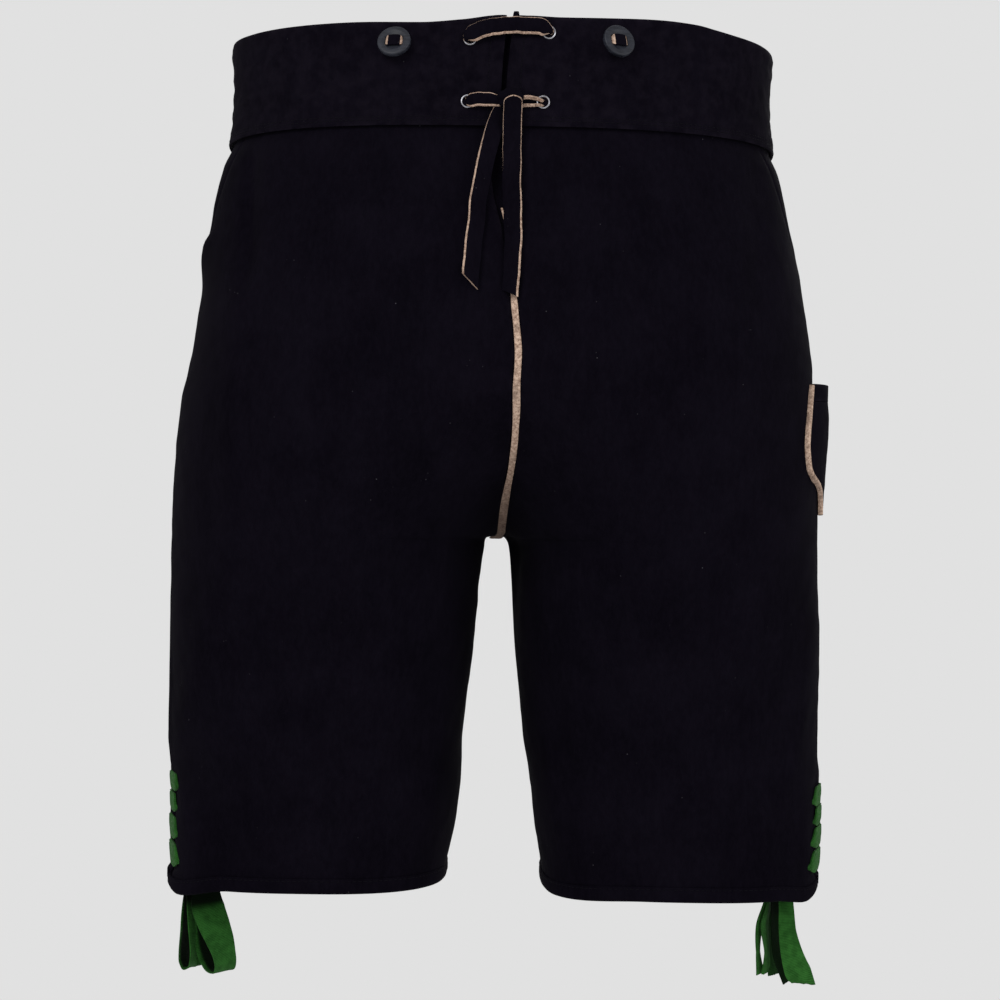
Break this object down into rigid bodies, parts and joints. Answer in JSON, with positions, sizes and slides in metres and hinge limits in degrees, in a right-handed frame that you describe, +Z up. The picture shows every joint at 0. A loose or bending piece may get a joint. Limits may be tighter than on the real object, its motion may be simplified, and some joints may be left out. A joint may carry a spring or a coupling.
{
  "type": "short lederhosen",
  "caption": "Short suede lederhosen, hollow as worn, with a laced back waistband, drop front, brace buttons, knife pocket and ribbon-laced side slits.",
  "frame": {"origin": "the middle of the waist opening, in the plane of the waistband's top edge", "axes": "+Z up along the wearer, +Y towards the wearer's back, +X towards the wearer's left"},
  "size_m": [0.4172, 0.2703, 0.5888],
  "materials": {
    "suede": "napped suede",
    "natural_edge": "raw cut edge",
    "horn": "satin",
    "green_ribbon": "ribbed weave",
    "blackened_metal": "polished rim"
  },
  "bodies": {
    "root": {"back_left": "suede", "front_left": "suede", "back_right": "suede", "front_right": "suede", "waistband_left": "suede", "waistband_right": "suede", "eyelet_top_left": "blackened_metal", "eyelet_top_right": "blackened_metal", "eyelet_low_left": "blackened_metal", "eyelet_low_right": "blackened_metal", "gusset": "suede", "seat_welt": "natural_edge", "hem_left": "suede", "hem_right": "suede", "tongue_left": "suede", "side_lace_left_1": "green_ribbon", "side_lace_left_2": "green_ribbon", "side_lace_left_3": "green_ribbon", "side_lace_left_4": "green_ribbon", "tongue_right": "suede", "side_lace_right_1": "green_ribbon", "side_lace_right_2": "green_ribbon", "side_lace_right_3": "green_ribbon", "side_lace_right_4": "green_ribbon", "ribbon_ends_left": "green_ribbon", "ribbon_ends_right": "green_ribbon", "lace_top": "suede", "lace_loop": "suede", "lace_strand_upper": "natural_edge", "lace_strand_lower": "natural_edge", "lace_knot": "suede", "lace_tail_left": "suede", "lace_tail_right": "suede", "drop_front": "suede", "button_back_left": "horn", "tie_back_left": "suede", "button_back_right": "horn", "tie_back_right": "suede", "button_front_left": "horn", "tie_front_left": "suede", "button_front_right": "horn", "tie_front_right": "suede", "button_waist": "horn", "tie_waist": "suede", "button_flap_left": "horn", "tie_flap_left": "suede", "button_flap_right": "horn", "tie_flap_right": "suede", "pocket_welt_left": "suede", "pocket_welt_right": "suede", "knife_pocket_band": "suede", "knife_pocket": "suede", "knife_pocket_welt": "natural_edge"}
  },
  "joints": []
}
